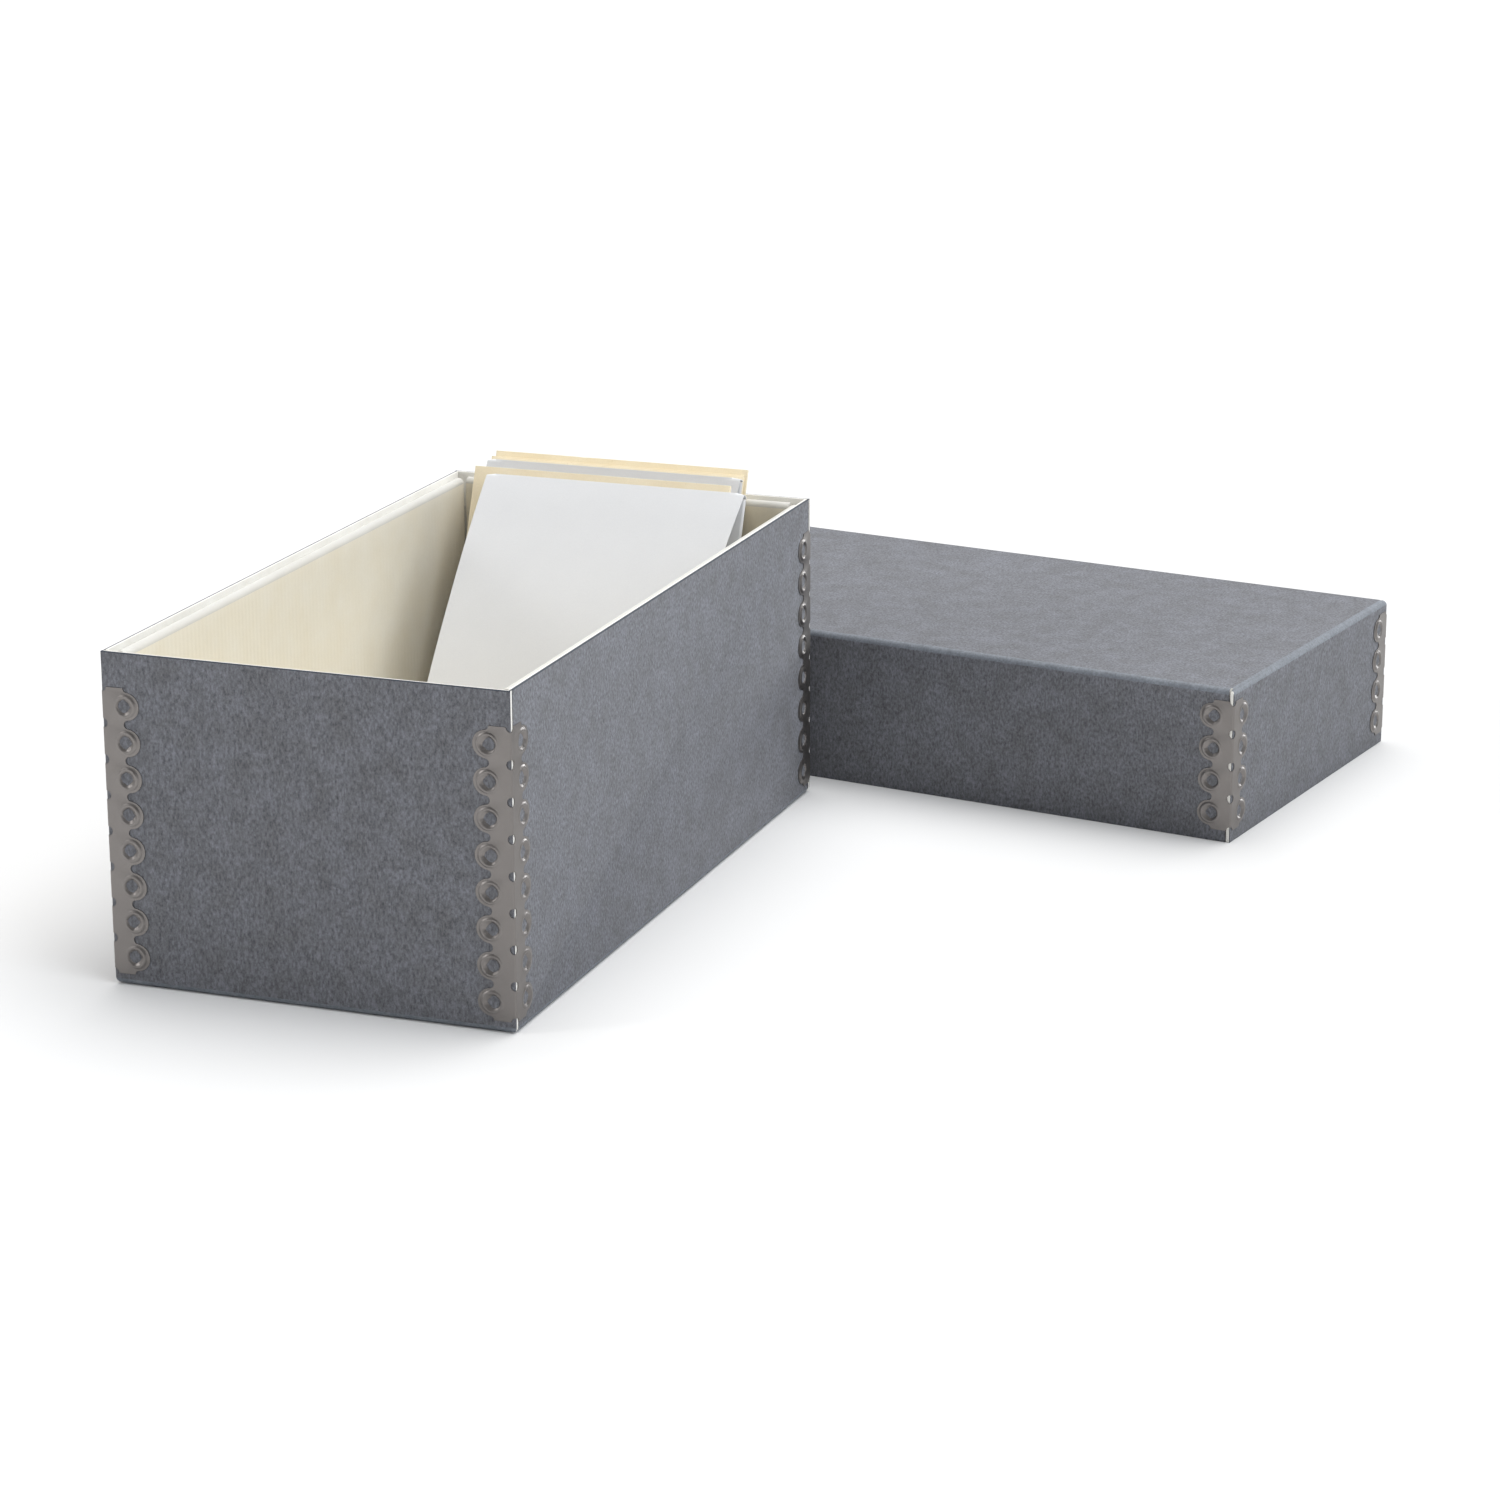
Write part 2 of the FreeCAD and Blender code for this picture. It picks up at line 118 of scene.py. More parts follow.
class Grain(Enum):
    """Which way a sheet's fibres lie: the axis along which they are drawn out."""

    ROUND = (1.0, 1.0, 1.0)
    UPRIGHT = (1.0, 1.0, 0.55)


@dataclass(frozen=True)
class FibreFinish:
    """Paper or board: matt pressed fibre with clouds, fine grain and a soft tooth.

    The clouds are the uneven fibre density of the sheet, and the grain is the felt of the
    fibres themselves, drawn a little coarser than life so that it shows.
    """

    name: str
    light: str
    dark: str
    cloud_mm: float = 9.0
    grain_mm: float = 0.8
    cloud_mix: float = 0.5
    grain_depth: float = 0.10
    fleck_depth: float = 0.0
    fleck_colour: str = "#ffffff"
    roughness: float = 0.85
    roughness_spread: float = 0.06
    specular: float = 0.35
    tooth_mm: float = 0.03
    grain: Grain = Grain.ROUND

    def build(self) -> bpy.types.Material:
        """Make the material.

        Returns:
            The material, with its pattern on Object coordinates.
        """
        material = bpy.data.materials.new(self.name)
        material.use_nodes = True
        tree = material.node_tree
        tree.nodes.clear()
        place = add_node(tree, "ShaderNodeTexCoord").outputs["Object"]
        drawn = add_node(
            tree, "ShaderNodeMapping", {"Scale": self.grain.value}, {"Vector": place}
        ).outputs["Vector"]
        cloud = add_node(
            tree,
            "ShaderNodeTexNoise",
            {"Scale": per_mm(self.cloud_mm), "Detail": 3.0, "Roughness": 0.55},
            {"Vector": place},
        ).outputs["Fac"]
        grain = add_node(
            tree,
            "ShaderNodeTexNoise",
            {"Scale": per_mm(self.grain_mm), "Detail": 5.0, "Roughness": 0.72},
            {"Vector": drawn},
        ).outputs["Fac"]
        cloudy = add_node(
            tree,
            "ShaderNodeMapRange",
            {"From Min": 0.5 - self.cloud_mix / 2, "From Max": 0.5 + self.cloud_mix / 2},
            {"Value": cloud},
        ).outputs["Result"]
        colour = add_node(
            tree,
            "ShaderNodeMix",
            {"data_type": "RGBA", 6: linear(self.dark), 7: linear(self.light)},
            {0: cloudy},
        ).outputs[2]
        shade = add_node(
            tree,
            "ShaderNodeMapRange",
            {
                "From Min": 0.3,
                "From Max": 0.7,
                "To Min": 1 - self.grain_depth,
                "To Max": 1 + self.grain_depth,
            },
            {"Value": grain},
        ).outputs["Result"]
        colour = add_node(
            tree,
            "ShaderNodeVectorMath",
            {"operation": "SCALE"},
            {0: colour, "Scale": shade},
        ).outputs["Vector"]
        if self.fleck_depth > 0:
            flecks = add_node(
                tree,
                "ShaderNodeTexNoise",
                {"Scale": per_mm(self.grain_mm * 0.9), "Detail": 1.0, "Distortion": 1.6},
                {"Vector": place},
            ).outputs["Fac"]
            picked = add_node(
                tree,
                "ShaderNodeMapRange",
                {"From Min": 0.66, "From Max": 0.78, "To Max": self.fleck_depth},
                {"Value": flecks},
            ).outputs["Result"]
            colour = add_node(
                tree,
                "ShaderNodeMix",
                {"data_type": "RGBA", 7: linear(self.fleck_colour)},
                {0: picked, 6: colour},
            ).outputs[2]
        rough = add_node(
            tree,
            "ShaderNodeMapRange",
            {
                "To Min": self.roughness - self.roughness_spread,
                "To Max": self.roughness + self.roughness_spread,
            },
            {"Value": grain},
        ).outputs["Result"]
        bump = add_node(
            tree,
            "ShaderNodeBump",
            {"Strength": 0.6, "Distance": self.tooth_mm * MM},
            {"Height": grain},
        ).outputs["Normal"]
        shader = add_node(
            tree,
            "ShaderNodeBsdfPrincipled",
            {
                "IOR": 1.5,
                "Specular IOR Level": self.specular,
                "Diffuse Roughness": 0.5,
            },
            {"Base Color": colour, "Roughness": rough, "Normal": bump},
        )
        add_node(tree, "ShaderNodeOutputMaterial", {}, {"Surface": shader.outputs[0]})
        return material


@dataclass(frozen=True)
class SatinSteel:
    """Tin-plated spring steel, rolled and stamped: a satin grey with faint rolling streaks.

    The streaks run along the strip, and the clouds are the dull bloom of handled plating.
    """

    name: str = "tinplated_steel_satin"
    light: str = "#898583"
    dark: str = "#797572"
    streak_mm: float = 0.5
    bloom_mm: float = 6.0
    roughness: float = 0.41

    def build(self) -> bpy.types.Material:
        """Make the material.

        Returns:
            The material, with its pattern on Object coordinates.
        """
        material = bpy.data.materials.new(self.name)
        material.use_nodes = True
        tree = material.node_tree
        tree.nodes.clear()
        place = add_node(tree, "ShaderNodeTexCoord").outputs["Object"]
        drawn = add_node(
            tree, "ShaderNodeMapping", {"Scale": (1.0, 1.0, 0.04)}, {"Vector": place}
        ).outputs["Vector"]
        streaks = add_node(
            tree,
            "ShaderNodeTexNoise",
            {"Scale": per_mm(self.streak_mm), "Detail": 2.0},
            {"Vector": drawn},
        ).outputs["Fac"]
        bloom = add_node(
            tree,
            "ShaderNodeTexNoise",
            {"Scale": per_mm(self.bloom_mm), "Detail": 4.0, "Roughness": 0.6},
            {"Vector": place},
        ).outputs["Fac"]
        colour = add_node(
            tree,
            "ShaderNodeMix",
            {"data_type": "RGBA", 6: linear(self.dark), 7: linear(self.light)},
            {0: bloom},
        ).outputs[2]
        rough = add_node(
            tree,
            "ShaderNodeMapRange",
            {
                "From Min": 0.3,
                "From Max": 0.7,
                "To Min": self.roughness - 0.05,
                "To Max": self.roughness + 0.08,
            },
            {"Value": bloom},
        ).outputs["Result"]
        bump = add_node(
            tree,
            "ShaderNodeBump",
            {"Strength": 0.35, "Distance": 0.01 * MM},
            {"Height": streaks},
        ).outputs["Normal"]
        shader = add_node(
            tree,
            "ShaderNodeBsdfPrincipled",
            {"Metallic": 1.0},
            {"Base Color": colour, "Roughness": rough, "Normal": bump},
        )
        add_node(tree, "ShaderNodeOutputMaterial", {}, {"Surface": shader.outputs[0]})
        return material


# blue-grey dyed skin of a solid archival board, calendered: dull, clouded, finely felted
GREY_SKIN = FibreFinish(
    "solid_board_blue_grey",
    light="#777980",
    dark="#696a6e",
    cloud_mm=9.0,
    grain_mm=0.8,
    grain_depth=0.58,
    fleck_depth=0.25,
    fleck_colour="#979ba4",
    roughness=0.72,
    specular=0.4,
    tooth_mm=0.035,
    grain=Grain.UPRIGHT,
)
# the same skin over the rounded fold, lighter and bluer: a painted sheen where light grazes the curve
SHEEN_PAINTED_SKIN = FibreFinish(
    "solid_board_blue_grey_fold_sheen",
    light="#81878f",
    dark="#72777f",
    cloud_mm=6.0,
    grain_mm=0.95,
    grain_depth=0.32,
    roughness=0.66,
    specular=0.5,
    tooth_mm=0.05,
)
# the skin's knife-cut edge, pressed and burnished darker than the face
BURNISHED_EDGE = FibreFinish(
    "solid_board_blue_grey_cut",
    light="#434954",
    dark="#373c45",
    cloud_mm=3.0,
    grain_mm=0.5,
    grain_depth=0.2,
    roughness=0.6,
    tooth_mm=0.03,
)
# undyed white back and core of the same board, rougher where the knife has cut it
WHITE_CORE = FibreFinish(
    "solid_board_white_core",
    light="#f1f0ec",
    dark="#e9e7e1",
    cloud_mm=7.0,
    grain_mm=0.5,
    grain_depth=0.05,
    roughness=0.9,
    tooth_mm=0.04,
)
# corrugated liner with an ivory face, unbleached enough to look warm in its own shade
IVORY_LINER = FibreFinish(
    "corrugated_board_ivory",
    light="#eae6da",
    dark="#e7e1d1",
    cloud_mm=14.0,
    grain_mm=0.7,
    grain_depth=0.025,
    roughness=0.9,
    specular=0.25,
    tooth_mm=0.02,
)
# the liner's folded crest, a greyer and less warm copy of the face: painted shade on the fold
CREST_PAINTED_SHADE = FibreFinish(
    "corrugated_board_ivory_crest_shade",
    light="#d6d5d1",
    dark="#d2d0ca",
    cloud_mm=14.0,
    grain_mm=0.7,
    grain_depth=0.02,
    roughness=0.85,
    specular=0.3,
    tooth_mm=0.02,
)
# cream-dyed stiffener board with sparse darker flecks
CREAM_BOARD = FibreFinish(
    "solid_board_cream",
    light="#f3e9d0",
    dark="#efe2c5",
    cloud_mm=10.0,
    grain_mm=0.6,
    grain_depth=0.035,
    fleck_depth=0.35,
    fleck_colour="#c9b78c",
    roughness=0.85,
    tooth_mm=0.025,
)
# unbuffered white enclosure paper, smooth and dead matt
WHITE_PAPER = FibreFinish(
    "cotton_paper_white",
    light="#e3e4e6",
    dark="#e1e2e4",
    cloud_mm=12.0,
    grain_mm=0.6,
    grain_depth=0.02,
    roughness=0.9,
    specular=0.25,
    tooth_mm=0.02,
)
STEEL = SatinSteel()


# ---------------------------------------------------------------- shared mesh work


def new_verts(result: dict) -> list[bmesh.types.BMVert]:
    """The vertices in an operator's geometry."""
    return [item for item in result["geom"] if isinstance(item, bmesh.types.BMVert)]


def new_edges(result: dict) -> list[bmesh.types.BMEdge]:
    """The edges in an operator's geometry."""
    return [item for item in result["geom"] if isinstance(item, bmesh.types.BMEdge)]


def whole(bm: bmesh.types.BMesh) -> list:
    """Every vertex, edge and face of a mesh."""
    return bm.verts[:] + bm.edges[:] + bm.faces[:]


def cut(bm: bmesh.types.BMesh, point: Sequence[float], normal: Sequence[float]) -> None:
    """Cut every face that a plane crosses."""
    bmesh.ops.bisect_plane(bm, geom=whole(bm), dist=CUT_SLACK, plane_co=point, plane_no=normal)


def round_edges(
    bm: bmesh.types.BMesh,
    edges: Sequence[bmesh.types.BMEdge],
    width: float,
    segments: int = 2,
    clamp: bool = False,
) -> None:
    """Round edges off.

    Args:
        bm: The mesh.
        edges: The edges to round.
        width: How wide the rounding is.
        segments: How many faces it has across.
        clamp: Whether roundings that would meet are held apart.
    """
    bmesh.ops.bevel(
        bm,
        geom=edges,
        offset=width,
        offset_type="OFFSET",
        segments=segments,
        profile=0.5,
        affect="EDGES",
        material=-1,
        clamp_overlap=clamp,
    )


def merge(bm: bmesh.types.BMesh, distance: float = 0.001 * MM) -> None:
    """Join vertices that lie on each other."""
    bmesh.ops.remove_doubles(bm, verts=bm.verts, dist=distance)


def sharp_edges(bm: bmesh.types.BMesh, degrees: float = 35.0) -> list[bmesh.types.BMEdge]:
    """Edges between two faces that turn by more than an angle."""
    limit = math.radians(degrees)
    return [e for e in bm.edges if len(e.link_faces) == 2 and e.calc_face_angle(0.0) > limit]


def face_up(bm: bmesh.types.BMesh) -> None:
    """Turn an open, nearly flat sheet so that its faces look along +Z."""
    bmesh.ops.recalc_face_normals(bm, faces=bm.faces)
    if sum(face.normal.z * face.calc_area() for face in bm.faces) < 0:
        bmesh.ops.reverse_faces(bm, faces=bm.faces)


@dataclass
class Role:
    """What a finished piece is in the frame: its body, CAD nodes and material slot."""

    body: str
    nodes: Sequence[str]
    slot: str


def finish_piece(
    bm: bmesh.types.BMesh,
    name: str,
    role: Role,
    finishes: Sequence[bpy.types.Material],
    thickness: float = 0.0,
    soften: float = 0.0,
) -> bpy.types.Object:
    """Turn a bmesh into a piece that rides on its body in place of its CAD nodes.

    Args:
        bm: The mesh, already in its place in the frame. It is freed.
        name: The piece's name.
        role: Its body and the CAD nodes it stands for.
        finishes: Its materials in the order of the faces' material numbers.
        thickness: A sheet's thickness, shared by both sides, or 0 for a solid.
        soften: How wide the sharp edges are rounded, or 0 to leave them.

    Returns:
        The piece's object.
    """
    mesh = bpy.data.meshes.new(name)
    for face in bm.faces:
        face.smooth = True
    bm.to_mesh(mesh)
    bm.free()
    for material in finishes:
        mesh.materials.append(material)
    mesh.set_sharp_from_angle(angle=math.radians(35))
    piece = bpy.data.objects.new(name, mesh)
    bpy.context.scene.collection.objects.link(piece)
    if thickness > 0:
        wall = piece.modifiers.new("thickness", "SOLIDIFY")
        wall.thickness = thickness
        wall.offset = 0.0
        wall.use_even_offset = True
    if soften > 0:
        edge = piece.modifiers.new("soft_edges", "BEVEL")
        edge.width = soften
        edge.segments = 2
        edge.limit_method = "ANGLE"
        edge.angle_limit = math.radians(50)
        edge.harden_normals = True
    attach(piece, role.body)
    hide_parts(*role.nodes)
    LOG.info("%s: %d faces, rides on %s", name, len(mesh.polygons), role.body)
    return piece


def arc(centre: Vector, radius: float, start: float, end: float, steps: int) -> list[Vector]:
    """Points along an arc in the XY plane.

    Args:
        centre: The arc's centre.
        radius: Its radius.
        start: The first point's angle in degrees.
        end: The last point's angle in degrees.
        steps: How many chords it has.

    Returns:
        The points, both ends included.
    """
    angles = [math.radians(start + (end - start) * i / steps) for i in range(steps + 1)]
    return [centre + radius * Vector((math.cos(a), math.sin(a), 0)) for a in angles]


# ---------------------------------------------------------------- trays and metal edges


def tray_place(node: str, width: float, length: float) -> Matrix:
    """Where a tray stands, worked out from its CAD box and its own width and length.

    Args:
        node: The tray's CAD node.
        width: The tray's outer width along its own X.
        length: The tray's outer length along its own Y.

    Returns:
        The matrix from the tray's own axes to the frame.
    """
    low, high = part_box(node)
    span = high - low
    spread = length**2 - width**2
    sine = (length * span.x - width * span.y) / spread
    cosine = (length * span.y - width * span.x) / spread
    centre = (low + high) / 2
    turn = Matrix.Rotation(math.atan2(sine, cosine), 4, "Z")
    return Matrix.Translation((centre.x, centre.y, low.z)) @ turn


class Shown(IntEnum):
    """What a tray's face shows, by the place of that finish in the tray's list."""

    SKIN = 0
    # the skin's lighter, bluer copy on the rounded fold: a painted sheen
    FOLD_SHEEN = 1
    CORE = 2
    BURNISHED = 3


@dataclass
class BoardTray:
    """A tray folded from one board: four walls, open slits at the corners, a white cut rim."""

    name: str
    role: Role
    width: float
    length: float
    opens_up: bool
    board: float = BOARD_MM * MM
    fold_radius: float = 2.4 * MM
    rim_round: float = 0.28 * MM
    skin: float = 0.75 * MM
    end_skin: float = 0.28 * MM
    cut_round: float = 0.10 * MM
    level: float = 0.01 * MM
    shortest_rim: float = 5 * MM
    # how far a face's normal turns to an end, upwards and out of a wall's or floor's plane
    facing_end: float = 0.7
    facing_up: float = 0.3
    least_slant: float = 0.12
    most_slant: float = 0.99
    place: Matrix = field(init=False)
    height: float = field(init=False)

    def __post_init__(self) -> None:
        """Read the tray's place and height from the frame."""
        low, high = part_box(self.role.nodes[0])
        self.height = high.z - low.z
        self.place = tray_place(self.role.nodes[0], self.width, self.length)

    def inset(self, point: Vector) -> float:
        """How far a point of the tray's own frame lies inside its rounded outer surface."""
        reach = self.fold_radius
        across = max(abs(point.x) - (self.width / 2 - reach), 0.0)
        along = max(abs(point.y) - (self.length / 2 - reach), 0.0)
        depth = reach - point.z if self.opens_up else point.z - (self.height - reach)
        fold = max(depth, 0.0)
        return reach - max(math.hypot(across, fold), math.hypot(along, fold))

    def finish_of(self, face: bmesh.types.BMFace) -> Shown:
        """Tell which finish a face shows.

        Args:
            face: A face in the tray's own frame.

        Returns:
            The finish, from how deep the face lies in the board and which way it looks.
        """
        centre = face.calc_center_median()
        normal = face.normal
        into_end = self.length / 2 - abs(centre.y)
        if abs(normal.x) > self.facing_end and into_end < self.board:
            return Shown.CORE if self.end_skin < into_end else Shown.BURNISHED
        if self.inset(centre) > self.skin:
            return Shown.CORE
        if self.opens_up and normal.z > self.facing_up:
            return Shown.BURNISHED
        # slanted faces on the rounded fold get a painted sheen: the skin's lighter, bluer copy
        slanted = self.least_slant < abs(normal.z) < self.most_slant
        if self.opens_up:
            in_fold = centre.z < self.fold_radius
        else:
            in_fold = centre.z > self.height - self.fold_radius
        return Shown.FOLD_SHEEN if slanted and in_fold else Shown.SKIN

    def build(self, finishes: Sequence[bpy.types.Material]) -> bpy.types.Object:
        """Make the tray from a merged copy of its CAD shape.

        Args:
            finishes: Skin, skin with painted fold sheen, white core and burnished edge.

        Returns:
            The tray's object.
        """
        bm = bmesh.new()
        bm.from_mesh(frame["nodes"][self.role.nodes[0]].data)
        merge(bm)
        bmesh.ops.transform(bm, matrix=self.place.inverted(), verts=bm.verts)
        bmesh.ops.dissolve_limit(
            bm, angle_limit=math.radians(0.6), verts=bm.verts, edges=bm.edges
        )
        rim = self.height if self.opens_up else 0.0
        hard = sharp_edges(bm, 60)
        outer_rim = [
            e
            for e in hard
            if all(
                abs(v.co.z - rim) < self.level and self.inset(v.co) < self.level for v in e.verts
            )
            and e.calc_length() > self.shortest_rim
        ]
        knife_cut = [e for e in hard if e not in outer_rim]
        for edges, width in ((outer_rim, self.rim_round), (knife_cut, self.cut_round)):
            round_edges(bm, [e for e in edges if e.is_valid], width, clamp=True)
        borders = (
            ((1, 0, 0), self.width / 2 - self.skin),
            ((0, 1, 0), self.length / 2 - self.skin),
            ((0, 1, 0), self.length / 2 - self.end_skin),
        )
        for axis, reach in borders:
            for side in (-1, 1):
                cut(bm, Vector(axis) * side * reach, axis)
        for face in bm.faces:
            face.material_index = self.finish_of(face)
        bmesh.ops.transform(bm, matrix=self.place, verts=bm.verts)
        return finish_piece(bm, self.name, self.role, finishes)


# the dish's radius, height over the strip, and distance from the fold, in millimetres
DISH_LEVELS = (
    (4.00, 0.14, 8.45),
    (3.72, 0.42, 8.42),
    (3.42, 0.52, 8.36),
    (3.08, 0.38, 8.26),
    (2.80, 0.06, 8.14),
    (2.58, -0.12, 8.04),
    (2.42, -0.24, 8.0),
    (2.34, -0.45, 8.0),
)


@dataclass
class MetalEdge:
    """A scalloped steel strip folded round one corner, its lobes pierced and dished.

    The strip is drawn flat, with X across it from the fold, Y up it and Z out of the board,
    and then folded. One lobe is made, repeated up the strip and mirrored to the other leg.
    """

    name: str
    role: Role
    corner: Matrix
    height: float
    metal: float = 0.3 * MM
    stand_off: float = 0.02 * MM
    pitch: float = 12.7 * MM
    lobe_offset: float = 8.8 * MM
    lobe_radius: float = 4.85 * MM
    notch_offset: float = 9.32 * MM
    notch_radius: float = 1.5 * MM
    spine_hole: float = 1.65 * MM
    bend_radius: float = 0.55 * MM
    dish_offset: float = 8.45 * MM
    dish_radius: float = 4.25 * MM
    ring_steps: int = 40
    lobe_steps: int = 22
    notch_steps: int = 6
    hole_steps: int = 5
    bend_steps: int = 3
    edge_round: float = 0.05 * MM
    weld: float = 0.001 * MM
    seam_weld: float = 0.004 * MM
    # the lobe's ring stands higher on the side away from the fold
    mean_rise: float = 0.68
    rise_tilt: float = 0.32
    # how far the pierced hole turns from round to square, away from the fold and next to it
    round_levels: int = 3
    square_far: float = 0.78
    square_near: float = 0.42
    # the burrs: their size, where they start, how fast they grow and how closely they change
    burr: float = 0.13 * MM
    burr_reach: float = 3.6 * MM
    burr_growth: float = 1.0 * MM
    burr_grain: float = 0.7 * MM
    burr_least: float = 0.25
    burr_zone: float = 0.95

    def outline(self) -> list[Vector]:
        """The outline of one leg over one pitch, from the spine round the lobe."""
        middle = self.pitch / 2
        lean = math.degrees(math.atan2(middle, self.lobe_offset - self.notch_offset))
        origin = Vector((0, 0, 0))
        top = Vector((0, self.pitch, 0))
        notch = Vector((self.notch_offset, 0, 0))
        lobe = Vector((self.lobe_offset, middle, 0))
        points = arc(notch, self.notch_radius, 180, lean, self.notch_steps)
        points += arc(lobe, self.lobe_radius, lean - 180, 180 - lean, self.lobe_steps)[1:-1]
        points += arc(notch + top, self.notch_radius, -lean, -180, self.notch_steps)
        points += arc(top, self.spine_hole, 0, -90, self.hole_steps)
        points += arc(origin, self.spine_hole, 90, 0, self.hole_steps)
        return points

    def add_dish(self, bm: bmesh.types.BMesh, ring: list[bmesh.types.BMEdge]) -> None:
        """Raise the lobe's ring and sink it to the pierced, four-cornered hole.

        Args:
            bm: The flat strip.
            ring: The edges of the circle round the hole, which is drawn inward.
        """
        start = Vector((self.dish_offset, self.pitch / 2, 0))
        for step, (radius, height, offset) in enumerate(DISH_LEVELS, start=1):
            drawn = bmesh.ops.extrude_edge_only(bm, edges=ring)
            verts = new_verts(drawn)
            ring = [e for e in new_edges(drawn) if all(v in verts for v in e.verts)]
            squared = max(0.0, (step - self.round_levels) / (len(DISH_LEVELS) - self.round_levels))
            centre = Vector((offset * MM, self.pitch / 2, 0))
            for vert in verts:
                away = vert.co - start
                angle = math.atan2(away.y, away.x)
                power = 2.0 - squared * (self.square_far if away.x > 0 else self.square_near)
                corners = abs(math.cos(angle)) ** power + abs(math.sin(angle)) ** power
                reach = radius * MM / corners ** (1 / power)
                rise = height * MM
                if height > 0:
                    rise *= self.mean_rise + self.rise_tilt * math.cos(angle)
                shift = Vector((math.cos(angle) * reach, math.sin(angle) * reach, rise))
                vert.co = centre + shift
            start = centre

    def roughen(self, vert: bmesh.types.BMVert, seed: float) -> None:
        """Shift a vertex near a pierced hole a little, so that no two burrs are alike."""
        up = vert.co.y % self.pitch - self.pitch / 2
        across = abs(vert.co.x) - self.dish_offset
        distance = math.hypot(up, across)
        if distance > self.dish_radius * self.burr_zone:
            return
        near_hole = min(1.0, max(0.0, (self.burr_reach - distance) / self.burr_growth))
        shift = noise.noise_vector(vert.co / self.burr_grain + Vector((seed, 0, 0)))
        vert.co += shift * self.burr * (self.burr_least + near_hole)

    def fold(self, point: Vector) -> Vector:
        """Where a point of the flat strip goes when it is folded round the corner."""
        out = point.z
        level = -self.metal / 2 - self.stand_off
        centre = self.bend_radius + level
        half = self.bend_radius * math.pi / 4
        if abs(point.x) < half:
            angle = math.radians(225) + point.x / half * math.pi / 4
            reach = self.bend_radius + out
            across, along = reach * math.cos(angle), reach * math.sin(angle)
            return Vector((centre + across, centre + along, point.y))
        along = centre + abs(point.x) - half
        if point.x > 0:
            return Vector((along, level - out, point.y))
        return Vector((level - out, along, point.y))

    def build(self, finish: bpy.types.Material) -> bpy.types.Object:
        """Make the metal edge.

        Args:
            finish: The steel.

        Returns:
            The metal edge's object.
        """
        lobes = round(self.height / self.pitch)
        bm = bmesh.new()
        verts = [bm.verts.new(point) for point in self.outline()]
        edges = [bm.edges.new((verts[i - 1], verts[i])) for i in range(len(verts))]
        bmesh.ops.create_circle(
            bm,
            segments=self.ring_steps,
            radius=self.dish_radius,
            matrix=Matrix.Translation((self.dish_offset, self.pitch / 2, 0)),
        )
        # in the mesh's own order, so that the fill is the same in every run
        ring = [edge for edge in bm.edges if edge not in edges]
        bmesh.ops.triangle_fill(bm, use_beauty=True, edges=edges + ring, normal=(0, 0, 1))
        self.add_dish(bm, ring)
        unit = whole(bm)
        for step in range(1, lobes):
            copied = bmesh.ops.duplicate(bm, geom=unit)
            bmesh.ops.translate(bm, verts=new_verts(copied), vec=(0, self.pitch * step, 0))
        bmesh.ops.mirror(
            bm, geom=whole(bm), matrix=Matrix.Identity(4), axis="X", merge_dist=self.weld
        )
        merge(bm, self.seam_weld)
        half = self.bend_radius * math.pi / 4
        for step in range(-self.bend_steps, self.bend_steps + 1):
            line = (half * step / self.bend_steps, 0, 0)
            bmesh.ops.bisect_plane(
                bm, geom=whole(bm), dist=self.weld, plane_co=line, plane_no=(1, 0, 0)
            )
        face_up(bm)
        # a seed of its own for each strip, the same in every run
        seed = sum(ord(letter) for letter in self.name) % 97
        for vert in bm.verts:
            self.roughen(vert, seed)
        for vert in bm.verts:
            vert.co = self.fold(vert.co)
        bmesh.ops.transform(bm, matrix=self.corner, verts=bm.verts)
        return finish_piece(bm, self.name, self.role, [finish], self.metal, self.edge_round)


# each corner's side of the tray across and along it, and the metal edge's turn there
TRAY_CORNERS = {
    "front_left": (-1, -1, 0),
    "front_right": (1, -1, 90),
    "back_right": (1, 1, 180),
    "back_left": (-1, 1, 270),
}


@dataclass
class TraySet:
    """A tray with the metal edges on its four corners."""

    tray: BoardTray
    prefix: str

    def build(self, board: Sequence[bpy.types.Material], steel: bpy.types.Material) -> None:
        """Make the tray and its metal edges.

        Args:
            board: Skin, skin with painted fold sheen, white core and burnished edge.
            steel: The metal edges' finish.
        """
        self.tray.build(board)
        for corner, (across, along, turn) in TRAY_CORNERS.items():
            node = f"{self.prefix}_metal_edge_{corner}"
            low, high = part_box(node)
            foot = Vector((across * self.tray.width / 2, along * self.tray.length / 2, low.z))
            local = Matrix.Translation(foot) @ Matrix.Rotation(math.radians(turn), 4, "Z")
            role = Role(self.tray.role.body, [node], "metal_edge")
            strip = MetalEdge(f"{node}_strip", role, self.tray.place @ local, high.z - low.z)
            strip.build(steel)


# ---------------------------------------------------------------- liner


